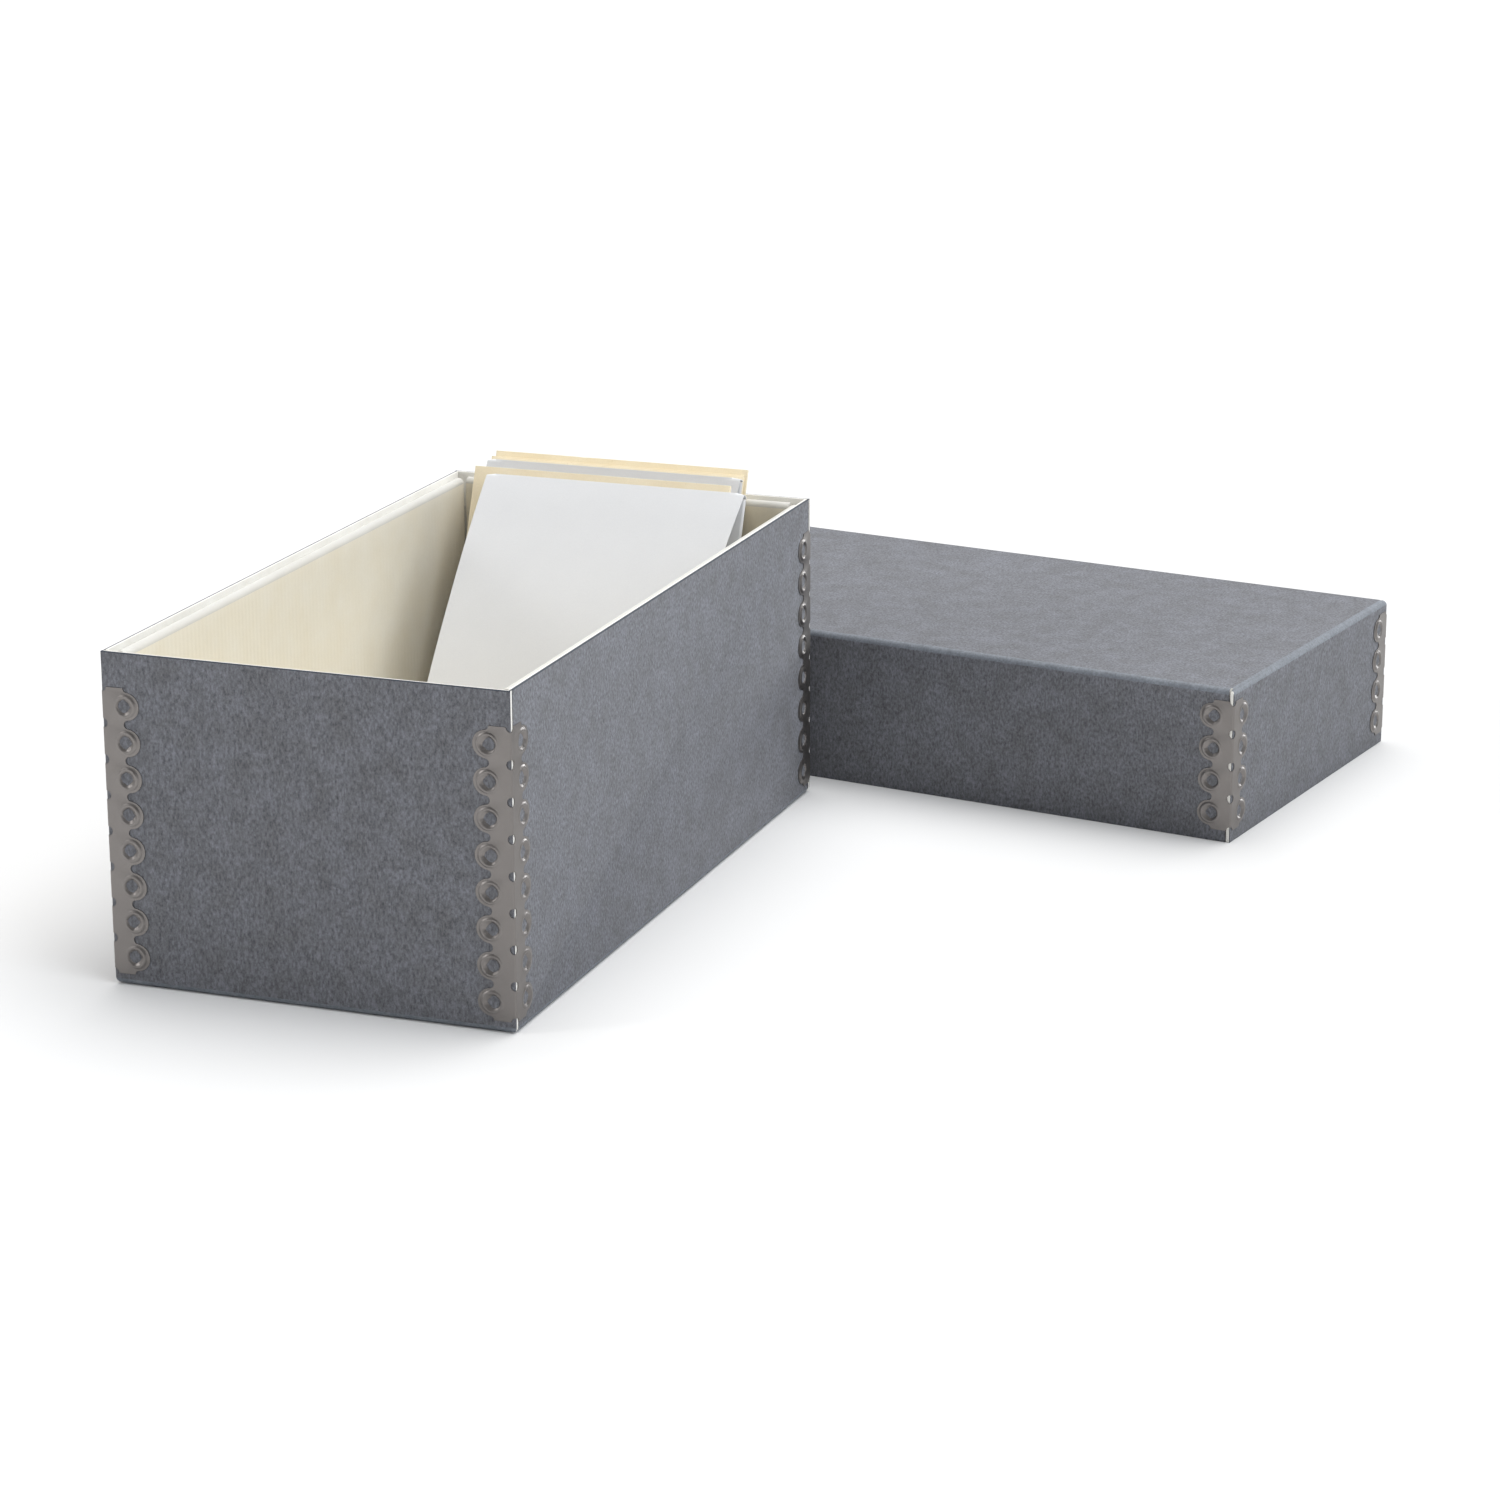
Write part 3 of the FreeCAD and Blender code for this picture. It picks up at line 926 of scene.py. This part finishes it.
@dataclass
class Liner:
    """The fluted fold-over liner: a floor and four doubled walls with rounded crests."""

    role: Role
    ply: float = 2.0 * MM
    slit: float = 0.4 * MM
    notch: float = 0.6 * MM
    crease: float = 0.9 * MM
    flute_pitch: float = 2.8 * MM
    flute_depth: float = 0.035 * MM
    flute_steps: int = 6
    flute_drift: float = 0.35
    drift_length: float = 30 * MM
    crest_steps: int = 10
    crest_below: float = 0.6 * MM
    edge_round: float = 0.2 * MM
    low: Vector = field(init=False)
    high: Vector = field(init=False)

    def __post_init__(self) -> None:
        """Read the liner's outer box from the frame."""
        self.low, self.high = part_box(self.role.nodes[0])

    @property
    def wall(self) -> float:
        """A doubled wall's whole thickness."""
        return 2 * self.ply + self.slit

    def profile(self) -> list[tuple[float, float, float]]:
        """A wall's middle line: depth into the box, height, and how fluted it is there."""
        foot = self.low.z + self.crease
        radius = (self.wall - self.ply) / 2
        spring = self.high.z - self.wall / 2
        inner = self.wall - self.ply / 2
        floor_top = self.low.z + self.ply
        points = [(self.ply / 2, foot, 1.0), (self.ply / 2, spring, 0.5)]
        for step in range(1, self.crest_steps):
            angle = math.pi * (1 - step / self.crest_steps)
            points.append(
                (self.wall / 2 + radius * math.cos(angle), spring + radius * math.sin(angle), 0.0)
            )
        # down the inner ply, where the flutes start to show just under the crest
        shares = ((0.0, 0.2), (0.03, 0.7), (0.07, 1.0), (0.4, 1.0), (0.75, 1.0), (1.0, 1.0))
        for share, fluted in shares:
            points.append((inner, spring + (floor_top - spring) * share, fluted))
        return points

    def flute(self, along: float) -> float:
        """The flutes' ripple at a distance along the wall."""
        drift = self.flute_drift * noise.noise(Vector((along / self.drift_length, 3.1, 0.7)))
        return self.flute_depth * math.cos(2 * math.pi * (along / self.flute_pitch + drift))

    def add_wall(
        self, bm: bmesh.types.BMesh, half: float, lie: Callable[[float, float, float], Vector]
    ) -> None:
        """Add one doubled wall.

        Args:
            bm: The liner's mesh.
            half: Half the wall's length.
            lie: Turns a distance along the wall, a depth into the box and a height into a point.
        """
        profile = self.profile()
        rows = len(profile) - 1
        columns = round(2 * half / self.flute_pitch) * self.flute_steps
        grid = bmesh.ops.create_grid(bm, x_segments=columns, y_segments=rows, size=0.5)
        for vert in grid["verts"]:
            depth, height, fluted = profile[round((vert.co.y + 0.5) * rows)]
            along = vert.co.x * 2 * half
            vert.co = lie(along, depth + fluted * self.flute(along), height)

    def build(self, finishes: Sequence[bpy.types.Material]) -> bpy.types.Object:
        """Make the liner.

        Args:
            finishes: The ivory face and its greyer copy for the crest, a painted shade.

        Returns:
            The liner's object.
        """
        bm = bmesh.new()
        x_end, y_end = self.high.x, self.high.y
        clear = self.wall + self.notch
        for side in (-1, 1):

            def lie_across(along: float, depth: float, height: float, s: int = side) -> Vector:
                """A point of the front or back wall."""
                return Vector((along * s, s * (y_end - depth), height))

            def lie_along(along: float, depth: float, height: float, s: int = side) -> Vector:
                """A point of the left or right wall."""
                return Vector((s * (x_end - depth), -along * s, height))

            self.add_wall(bm, x_end - clear, lie_across)
            self.add_wall(bm, y_end - clear, lie_along)
        floor_x = x_end - self.ply - self.slit
        floor_y = y_end - self.ply - self.slit
        columns = round(2 * floor_x / self.flute_pitch) * self.flute_steps
        floor = bmesh.ops.create_grid(bm, x_segments=columns, y_segments=2, size=0.5)
        for vert in floor["verts"]:
            across = vert.co.x * 2 * floor_x
            level = self.low.z + self.ply / 2 + self.flute(across)
            vert.co = Vector((across, vert.co.y * 2 * floor_y, level))
        bmesh.ops.recalc_face_normals(bm, faces=bm.faces)
        # faces on the crest take the greyer copy of the ivory: painted shade
        crest = self.high.z - self.wall / 2 - self.crest_below
        for face in bm.faces:
            face.material_index = 1 if face.calc_center_median().z > crest else 0
        return finish_piece(bm, "liner_board", self.role, finishes, self.ply, self.edge_round)


# ---------------------------------------------------------------- leaning sheets


@dataclass
class LeaningFrame:
    """Where a leaning sheet stands: X across, Y out of its back face, Z up its slope."""

    node: str
    up: Vector
    height: float = field(init=False)
    depth: float = field(init=False)
    width: float = field(init=False)
    place: Matrix = field(init=False)

    def __post_init__(self) -> None:
        """Work out the sheet's own sizes and place from its CAD box and its slope."""
        low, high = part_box(self.node)
        span = high - low
        sine, cosine = self.up.y, self.up.z
        turned = cosine**2 - sine**2
        self.height = (span.z * cosine - span.y * sine) / turned
        self.depth = (span.y * cosine - span.z * sine) / turned
        self.width = span.x
        foot = Vector(((low.x + high.x) / 2, low.y + self.depth * cosine, low.z))
        lean = math.atan2(sine, cosine)
        self.place = Matrix.Translation(foot) @ Matrix.Rotation(-lean, 4, "X")


@dataclass
class StiffenerBoard:
    """A cream board with softened cut edges, bowed a little, with a few nicks in its top."""

    name: str
    role: Role
    stand: LeaningFrame
    bow: float = 0.10 * MM
    edge_round: float = 0.14 * MM
    nicks: Sequence[tuple[float, float]] = ()
    nick_depth: float = 0.5 * MM
    nick_zone: float = 0.99
    columns: int = 40
    rows: int = 12

    def build(self, finish: bpy.types.Material) -> bpy.types.Object:
        """Make the board.

        Args:
            finish: The cream board.

        Returns:
            The board's object.
        """
        size = self.stand
        bm = bmesh.new()
        bmesh.ops.create_cube(bm, size=1.0)
        bmesh.ops.scale(bm, vec=(size.width, size.depth, size.height), verts=bm.verts)
        bmesh.ops.translate(bm, vec=(0, -size.depth / 2, size.height / 2), verts=bm.verts)
        divisions = (
            ((1, 0, 0), -size.width / 2, size.width, self.columns),
            ((0, 0, 1), 0.0, size.height, self.rows),
        )
        for axis, start, span, parts in divisions:
            for step in range(1, parts):
                cut(bm, Vector(axis) * (start + span * step / parts), axis)
        round_edges(bm, sharp_edges(bm, 60), self.edge_round)
        for vert in bm.verts:
            across = vert.co.x / (size.width / 2)
            up = vert.co.z / size.height
            vert.co.y -= self.bow * (1 - across**2) * math.sin(math.pi * up)
            for place, wide in self.nicks:
                away = abs(vert.co.x - place * size.width)
                if up > self.nick_zone and away < wide * MM:
                    vert.co.z -= self.nick_depth * (1 - away / (wide * MM))
        bmesh.ops.transform(bm, matrix=self.stand.place, verts=bm.verts)
        return finish_piece(bm, self.name, self.role, [finish])


@dataclass
class EnclosurePocket:
    """The folded part of a four-flap enclosure.

    It has a back, side gussets, overlapping side flaps and a foot flap turned up inside them.
    """

    name: str
    role: Role
    stand: LeaningFrame
    paper: float = 0.35 * MM
    fold_round: float = 0.5 * MM
    flap_share: float = 0.62
    foot_flap: float = 38.0 * MM
    # layers of folded paper, counted in sheets from the front
    under_sheets: float = 1.6
    foot_sheets: float = 3.2
    foot_lift: float = 0.3
    # how far the side flaps' free edges slant in and down towards the top
    slant_in: float = 4 * MM
    slant_down: float = 2.5 * MM
    free_edge: float = 0.9
    fold_steps: int = 3
    edge_round: float = 0.05 * MM

    def build(self, finish: bpy.types.Material) -> bpy.types.Object:
        """Make the pocket.

        Args:
            finish: The white paper.

        Returns:
            The pocket's object.
        """
        size = self.stand
        skin = self.paper / 2
        half = size.width / 2 - skin
        back, front = -skin, -(size.depth - skin)
        under = front + self.under_sheets * self.paper
        reach = self.flap_share * size.width
        bm = bmesh.new()
        # in plan: left flap, left gusset, back, right gusset, right flap tucked under the left
        plan = [
            (-half + reach, front),
            (-half, front),
            (-half, back),
            (half, back),
            (half, under),
            (half - reach, under),
        ]
        line = [bm.verts.new((x, y, skin)) for x, y in plan]
        edges = [bm.edges.new(pair) for pair in zip(line, line[1:])]
        tops = new_verts(bmesh.ops.extrude_edge_only(bm, edges=edges))
        bmesh.ops.translate(bm, verts=tops, vec=(0, 0, size.height - skin))
        for vert in tops:
            if abs(vert.co.x) < half * self.free_edge:
                vert.co.x -= math.copysign(self.slant_in, vert.co.x)
                vert.co.z -= self.slant_down
        # foot: gusset along the bottom and a flap turned up behind the side flaps
        inner = front + self.foot_sheets * self.paper
        foot = [(back, skin), (inner, skin), (inner, self.foot_flap)]
        lift = self.foot_lift * self.paper
        low = [bm.verts.new((-half + self.paper, y, z + lift)) for y, z in foot]
        rail = [bm.edges.new(pair) for pair in zip(low, low[1:])]
        across = new_verts(bmesh.ops.extrude_edge_only(bm, edges=rail))
        bmesh.ops.translate(bm, verts=across, vec=(2 * (half - self.paper), 0, 0))
        folds = [e for e in bm.edges if len(e.link_faces) == 2]
        round_edges(bm, folds, self.fold_round, self.fold_steps)
        bmesh.ops.recalc_face_normals(bm, faces=bm.faces)
        bmesh.ops.transform(bm, matrix=self.stand.place, verts=bm.verts)
        return finish_piece(bm, self.name, self.role, [finish], self.paper, self.edge_round)


@dataclass
class EnclosureFlap:
    """An enclosure's top flap: a gusset at the fold and a leaf sprung forward in an arc."""

    name: str
    role: Role
    stand: LeaningFrame
    opened: float
    curl: float
    fold_gap: float = 0.3 * MM
    paper: float = 0.35 * MM
    short: float = 3.0 * MM
    taper_left: float = 0.012
    taper_right: float = 0.055
    corner: float = 4.0 * MM
    curl_in: float = 0.15 * MM
    fold_round: float = 1.2 * MM
    fold_steps: int = 5
    edge_round: float = 0.05 * MM
    # how soon the sides have tapered in and the curl dies out towards the free end
    taper_rate: float = 2.2
    curl_rate: float = 1.1
    ripple: float = 0.25 * MM
    row_crowding: float = 0.9
    rows: int = 36
    columns: int = 30

    def leaf_point(self, across: float, share: float) -> Vector:
        """A point of the leaf.

        Args:
            across: From -1 at the left side to 1 at the right side.
            share: From 0 at the gusset to 1 at the free end.

        Returns:
            The point in the flap's own frame.
        """
        length = self.stand.height - self.short
        radius = length / math.radians(self.curl)
        middle = radius + self.paper / 2
        angle = math.radians(self.curl) * share
        taper = self.taper_left if across < 0 else self.taper_right
        half = self.stand.width / 2 * (1 - taper * min(1.0, share * self.taper_rate))
        # the free end's two corners are rounded off
        drop = (1 - share) * length
        if drop < self.corner:
            inset = self.corner - math.sqrt(max(self.corner**2 - (self.corner - drop) ** 2, 0.0))
            half -= inset
        wave = self.curl_in * across**2 * math.sin(math.pi * min(1.0, share * self.curl_rate))
        wave += self.ripple * noise.noise(Vector((across * 1.3, share * 2.0, self.curl)))
        reach = middle - wave * share
        y = radius - self.stand.depth - reach * math.cos(angle)
        return Vector((across * half, y, -reach * math.sin(angle)))

    def build(self, finish: bpy.types.Material) -> bpy.types.Object:
        """Make the flap.

        Args:
            finish: The white paper.

        Returns:
            The flap's object.
        """
        bm = bmesh.new()
        grid = bmesh.ops.create_grid(bm, x_segments=self.columns, y_segments=self.rows, size=1.0)
        top_row = []
        for vert in grid["verts"]:
            share = (1 - vert.co.y) / 2
            if share < 1e-6:
                top_row.append(vert)
            vert.co = self.leaf_point(vert.co.x, share**self.row_crowding)
        ridge = [e for e in bm.edges if e.is_boundary and all(v in top_row for v in e.verts)]
        gusset = new_verts(bmesh.ops.extrude_edge_only(bm, edges=ridge))
        for vert in top_row + gusset:
            vert.co.z = self.paper / 2
        for vert in gusset:
            vert.co.y = 0.0
        round_edges(bm, ridge, self.fold_round, self.fold_steps)
        bmesh.ops.recalc_face_normals(bm, faces=bm.faces)
        hinge = Matrix.Translation((0, 0, self.stand.height + self.fold_gap))
        opened = Matrix.Rotation(-math.radians(self.opened), 4, "X")
        bmesh.ops.transform(bm, matrix=self.stand.place @ hinge @ opened, verts=bm.verts)
        return finish_piece(bm, self.name, self.role, [finish], self.paper, self.edge_round)


@dataclass
class Contents:
    """The boards and enclosures that lean on the liner's back wall."""

    cream: bpy.types.Material
    paper: bpy.types.Material
    up: Vector = field(init=False)

    def __post_init__(self) -> None:
        """Read the slope that all the sheets share from the direction in which they lift out."""
        joint = next(j for j in frame["joints"] if j["name"] == "divider_lift")
        self.up = Vector(joint["axis"]).normalized()

    def build(self) -> None:
        """Make every board and both enclosures."""
        boards = {
            "rear_stiffener": ("rear_stiffener_board", 0.12, ((-0.16, 1.4), (0.085, 0.9))),
            "middle_stiffener": ("middle_stiffener_board", -0.10, ()),
            "front_stiffener": ("front_stiffener_board", 0.08, ((0.31, 0.8),)),
            "divider": ("divider_board", 0.15, ()),
        }
        for body, (node, bow, nicks) in boards.items():
            role = Role(body, [node], "cream_board")
            stand = LeaningFrame(node, self.up)
            StiffenerBoard(f"{node}_sheet", role, stand, bow * MM, nicks=nicks).build(self.cream)
        enclosures = {
            "rear_enclosure": ("rear_enclosure", 10.0, 7.0),
            "front_enclosure": ("front_flap", 27.0, 16.0),
        }
        for node, (flap_body, opened, curl) in enclosures.items():
            stand = LeaningFrame(node, self.up)
            EnclosurePocket(f"{node}_pocket", Role(node, [node], "white_paper"), stand).build(self.paper)
            role = Role(flap_body, [f"{node}_flap"], "white_paper")
            EnclosureFlap(f"{node}_top_flap", role, stand, opened, curl).build(self.paper)


# ---------------------------------------------------------------- studio


@dataclass(frozen=True)
class SoftLight:
    """A broad, very distant light, even over the whole floor.

    Its place is only a direction, its spread is in degrees of the sky, its strength is the
    irradiance on a surface that faces it, and its colour is in linear light.
    """

    name: str
    towards: tuple[float, float, float]
    spread: float
    strength: float
    colour: tuple[float, float, float]

    def add(self) -> None:
        """Add the light to the scene."""
        data = bpy.data.lights.new(self.name, "SUN")
        data.energy = self.strength
        data.angle = math.radians(self.spread)
        data.color = self.colour
        light = bpy.data.objects.new(self.name, data)
        light.rotation_euler = Vector(self.towards).to_track_quat("Z", "Y").to_euler()
        bpy.context.scene.collection.objects.link(light)


SOFT_LIGHTS = (
    SoftLight("overhead", (0.09, 0.31, 0.95), 62.0, 3.75, (1.0, 0.995, 0.985)),
    SoftLight("right", (0.78, -0.14, 0.61), 50.0, 0.82, (0.87, 0.93, 1.0)),
    SoftLight("front_left_kicker", (-0.74, -0.48, 0.34), 14.0, 0.6, (1.0, 1.0, 1.0)),
    SoftLight("back_right_rim", (0.44, 0.89, 0.10), 20.0, 1.0, (0.95, 0.98, 1.0)),
)


@dataclass
class Studio:
    """A pale floor, soft light from above, both sides and behind, and the camera."""

    camera_at: tuple[float, float, float] = (0.5938, -1.33273, 0.4812)
    camera_turn: float = 20.206
    camera_tilt: float = 73.496
    camera_roll: float = -0.150
    lens: float = 99.875
    floor_half: float = 14.0
    floor_colour: str = "#e1e1e1"
    low_glow: tuple[float, float, float, float] = (0.16, 0.16, 0.165, 1)
    high_glow: tuple[float, float, float, float] = (0.34, 0.34, 0.34, 1)
    high_glow_from: float = 0.8

    def build(self) -> None:
        """Set up the floor, the lights and the camera."""
        self.add_floor()
        self.light_world()
        for light in SOFT_LIGHTS:
            light.add()
        self.place_camera()
        bpy.context.scene.view_settings.view_transform = "Standard"

    def add_floor(self) -> None:
        """Lay the pale floor, which shows to the camera and catches the shadows."""
        bm = bmesh.new()
        bmesh.ops.create_grid(bm, x_segments=1, y_segments=1, size=self.floor_half)
        mesh = bpy.data.meshes.new("studio_floor")
        bm.to_mesh(mesh)
        bm.free()
        finish = FibreFinish(
            "studio_paper_white",
            light=self.floor_colour,
            dark=self.floor_colour,
            grain_depth=0.0,
            roughness=0.95,
            specular=0.0,
            tooth_mm=0.0,
        )
        mesh.materials.append(finish.build())
        floor = bpy.data.objects.new("studio_floor", mesh)
        bpy.context.scene.collection.objects.link(floor)

    def light_world(self) -> None:
        """Light the scene from all round: grey from the floor's side, paler from above."""
        world = bpy.data.worlds.new("studio_world")
        bpy.context.scene.world = world
        world.use_nodes = True
        tree = world.node_tree
        tree.nodes.clear()
        direction = add_node(tree, "ShaderNodeTexCoord").outputs["Generated"]
        height = add_node(tree, "ShaderNodeSeparateXYZ", {}, {"Vector": direction}).outputs["Z"]
        ramp = add_node(tree, "ShaderNodeValToRGB", {}, {"Fac": height})
        stops = ramp.color_ramp.elements
        stops[0].position, stops[0].color = 0.0, self.low_glow
        stops[1].position, stops[1].color = self.high_glow_from, self.high_glow
        glow = add_node(tree, "ShaderNodeBackground", {}, {"Color": ramp.outputs["Color"]})
        add_node(tree, "ShaderNodeOutputWorld", {}, {"Surface": glow.outputs[0]})

    def place_camera(self) -> None:
        """Place the camera by its turn, tilt and roll."""
        data = bpy.data.cameras.new("camera")
        data.lens = self.lens
        data.sensor_width = 36.0
        camera = bpy.data.objects.new("camera", data)
        turn = Matrix.Rotation(math.radians(self.camera_turn), 4, "Z")
        tilt = Matrix.Rotation(math.radians(self.camera_tilt), 4, "X")
        roll = Matrix.Rotation(math.radians(self.camera_roll), 4, "Z")
        camera.matrix_world = Matrix.Translation(self.camera_at) @ turn @ tilt @ roll
        bpy.context.scene.collection.objects.link(camera)
        bpy.context.scene.camera = camera


# ---------------------------------------------------------------- assembly


def main() -> None:
    logging.basicConfig(level=logging.INFO, format="%(message)s")
    # without a seed the burrs' noise starts from the clock and differs in every run
    noise.seed_set(BURR_SEED)
    skin = [finish.build() for finish in (GREY_SKIN, SHEEN_PAINTED_SKIN, WHITE_CORE, BURNISHED_EDGE)]
    steel = STEEL.build()
    low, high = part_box("base_tray")
    width, length = high.x - low.x, high.y - low.y
    # the lid stands off the base by its clearance and its own board, on both sides
    spread = 2 * (LID_CLEARANCE_MM + BOARD_MM) * MM
    base_role = Role("base", ["base_tray"], "grey_board")
    lid_role = Role("lid", ["lid_tray"], "grey_board")
    base = BoardTray("base_board_tray", base_role, width, length, True)
    lid = BoardTray("lid_board_tray", lid_role, width + spread, length + spread, False)
    TraySet(base, "base").build(skin, steel)
    TraySet(lid, "lid").build(skin, steel)
    ivory = [finish.build() for finish in (IVORY_LINER, CREST_PAINTED_SHADE)]
    Liner(Role("base", ["liner"], "liner_board")).build(ivory)
    Contents(CREAM_BOARD.build(), WHITE_PAPER.build()).build()
    Studio().build()


if __name__ == "__main__":
    main()
